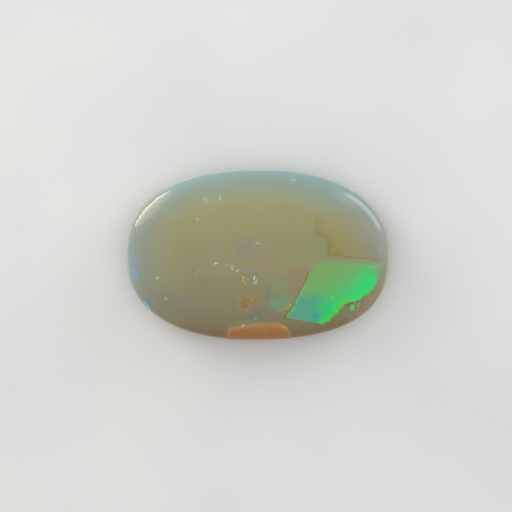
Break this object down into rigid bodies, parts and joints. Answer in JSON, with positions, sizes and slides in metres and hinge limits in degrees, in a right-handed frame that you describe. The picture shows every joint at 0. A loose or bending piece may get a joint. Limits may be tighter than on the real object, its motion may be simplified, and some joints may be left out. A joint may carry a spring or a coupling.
{
  "type": "opal cabochon",
  "caption": "Polished oval opal cabochon with a low dome, a thin girdle, a bevelled lower edge and a flat back to rest or be set on.",
  "frame": {"origin": "the middle of the flat back, which is the plane the stone rests on", "axes": "+Z out of the dome, +X along the oval's length, +Y across it towards the cooler, bluish edge"},
  "size_m": [0.02, 0.013, 0.0036],
  "materials": {
    "milky_opal": "polished"
  },
  "bodies": {
    "root": {"opal_cabochon": "milky_opal"}
  },
  "joints": []
}
